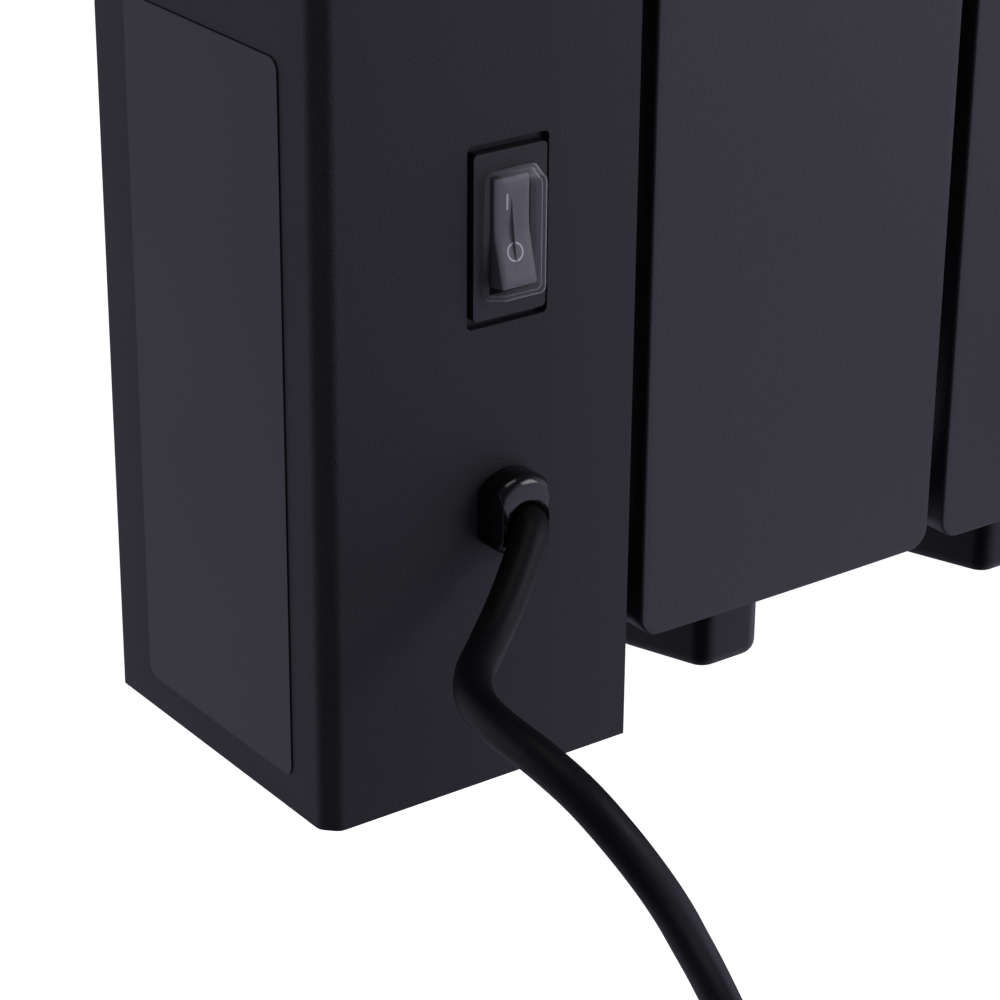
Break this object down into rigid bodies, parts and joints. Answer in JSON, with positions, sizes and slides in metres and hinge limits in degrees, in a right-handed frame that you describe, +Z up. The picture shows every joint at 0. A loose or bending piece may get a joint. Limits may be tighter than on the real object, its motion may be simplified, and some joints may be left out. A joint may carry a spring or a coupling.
{
  "type": "oil filled radiator heater",
  "caption": "Free-standing electric oil filled radiator with flat panels, a control housing at one end, a covered rear rocker switch, a mains lead and wheeled feet.",
  "frame": {"origin": "on the floor, under the middle of the heater's length and depth", "axes": "+Z up; +X towards the control housing's end; +Y towards the rear, where the mains switch and lead are"},
  "size_m": [0.7771, 0.3322, 0.6368],
  "materials": {
    "housing_paint": "fine textured powder coat",
    "panel_paint": "satin powder coat, slight orange peel",
    "vessel_paint": "satin black paint",
    "plate_film": "smooth satin",
    "black_plastic": "semi-gloss",
    "grey_plastic": "satin",
    "clear_plastic": "clear, flexible",
    "dark_window": "high gloss",
    "wheel_plastic": "satin",
    "cord_rubber": "matt",
    "board": "solder mask",
    "zinc": "zinc plated",
    "element_metal": "plain"
  },
  "bodies": {
    "heater": {"oil_vessel_1": "vessel_paint", "oil_vessel_2": "vessel_paint", "oil_vessel_3": "vessel_paint", "oil_vessel_4": "vessel_paint", "oil_vessel_5": "vessel_paint", "oil_vessel_6": "vessel_paint", "oil_vessel_7": "vessel_paint", "oil_vessel_8": "vessel_paint", "rear_panel_1": "panel_paint", "rear_panel_2": "panel_paint", "rear_panel_3": "panel_paint", "rear_panel_4": "panel_paint", "rear_panel_5": "panel_paint", "rear_panel_6": "panel_paint", "rear_panel_7": "panel_paint", "rear_panel_8": "panel_paint", "front_panel_1": "panel_paint", "front_panel_2": "panel_paint", "front_panel_3": "panel_paint", "front_panel_4": "panel_paint", "front_panel_5": "panel_paint", "front_panel_6": "panel_paint", "front_panel_7": "panel_paint", "front_panel_8": "panel_paint", "housing_shell": "housing_paint", "rating_plate": "plate_film", "housing_inner_cover": "housing_paint", "housing_base": "black_plastic", "control_panel": "black_plastic", "display_window": "dark_window", "control_board": "board", "terminal_block": "black_plastic", "thermal_cutout": "zinc", "tilt_switch": "grey_plastic", "switch_bracket": "black_plastic", "switch_body": "black_plastic", "switch_cover": "clear_plastic", "cable_gland": "black_plastic", "heating_element": "element_metal", "filler_plug": "zinc", "end_cover": "housing_paint", "foot_bar_near": "housing_paint", "clamp_near": "zinc", "clamp_screw_near": "black_plastic", "foot_bar_far": "housing_paint", "clamp_far": "zinc", "clamp_screw_far": "black_plastic", "cord_lead": "cord_rubber", "cord_coil": "cord_rubber", "coil_tie": "black_plastic", "plug": "cord_rubber"},
    "switch_rocker": {"switch_rocker": "grey_plastic"},
    "button_power": {"button_power": "grey_plastic"},
    "button_mode": {"button_mode": "grey_plastic"},
    "button_minus": {"button_minus": "grey_plastic"},
    "button_plus": {"button_plus": "grey_plastic"},
    "wheel_near_rear": {"wheel_near_rear": "wheel_plastic"},
    "wheel_near_front": {"wheel_near_front": "wheel_plastic"},
    "wheel_far_rear": {"wheel_far_rear": "wheel_plastic"},
    "wheel_far_front": {"wheel_far_front": "wheel_plastic"}
  },
  "joints": [
    {"name": "rocker_tilt", "type": "hinge", "parent": "heater", "child": "switch_rocker", "pos_m": [0.32435, 0.0363, 0.1775], "axis": [-1, 0, 0], "range_deg": [0, 16]},
    {"name": "button_power_press", "type": "slide", "parent": "heater", "child": "button_power", "axis": [0, 0, -1], "range_m": [0, 0.0008], "stiffness_N_per_m": 800, "springref_m": -0.0006},
    {"name": "button_mode_press", "type": "slide", "parent": "heater", "child": "button_mode", "axis": [0, 0, -1], "range_m": [0, 0.0008], "stiffness_N_per_m": 800, "springref_m": -0.0006},
    {"name": "button_minus_press", "type": "slide", "parent": "heater", "child": "button_minus", "axis": [0, 0, -1], "range_m": [0, 0.0008], "stiffness_N_per_m": 800, "springref_m": -0.0006},
    {"name": "button_plus_press", "type": "slide", "parent": "heater", "child": "button_plus", "axis": [0, 0, -1], "range_m": [0, 0.0008], "stiffness_N_per_m": 800, "springref_m": -0.0006},
    {"name": "wheel_near_rear_roll", "type": "hinge", "parent": "heater", "child": "wheel_near_rear", "pos_m": [0.05285, 0.094, 0.02068], "axis": [1, 0, 0], "continuous": true},
    {"name": "wheel_near_front_roll", "type": "hinge", "parent": "heater", "child": "wheel_near_front", "pos_m": [0.05285, -0.094, 0.02068], "axis": [1, 0, 0], "continuous": true},
    {"name": "wheel_far_rear_roll", "type": "hinge", "parent": "heater", "child": "wheel_far_rear", "pos_m": [-0.18715, 0.094, 0.02068], "axis": [1, 0, 0], "continuous": true},
    {"name": "wheel_far_front_roll", "type": "hinge", "parent": "heater", "child": "wheel_far_front", "pos_m": [-0.18715, -0.094, 0.02068], "axis": [1, 0, 0], "continuous": true}
  ]
}
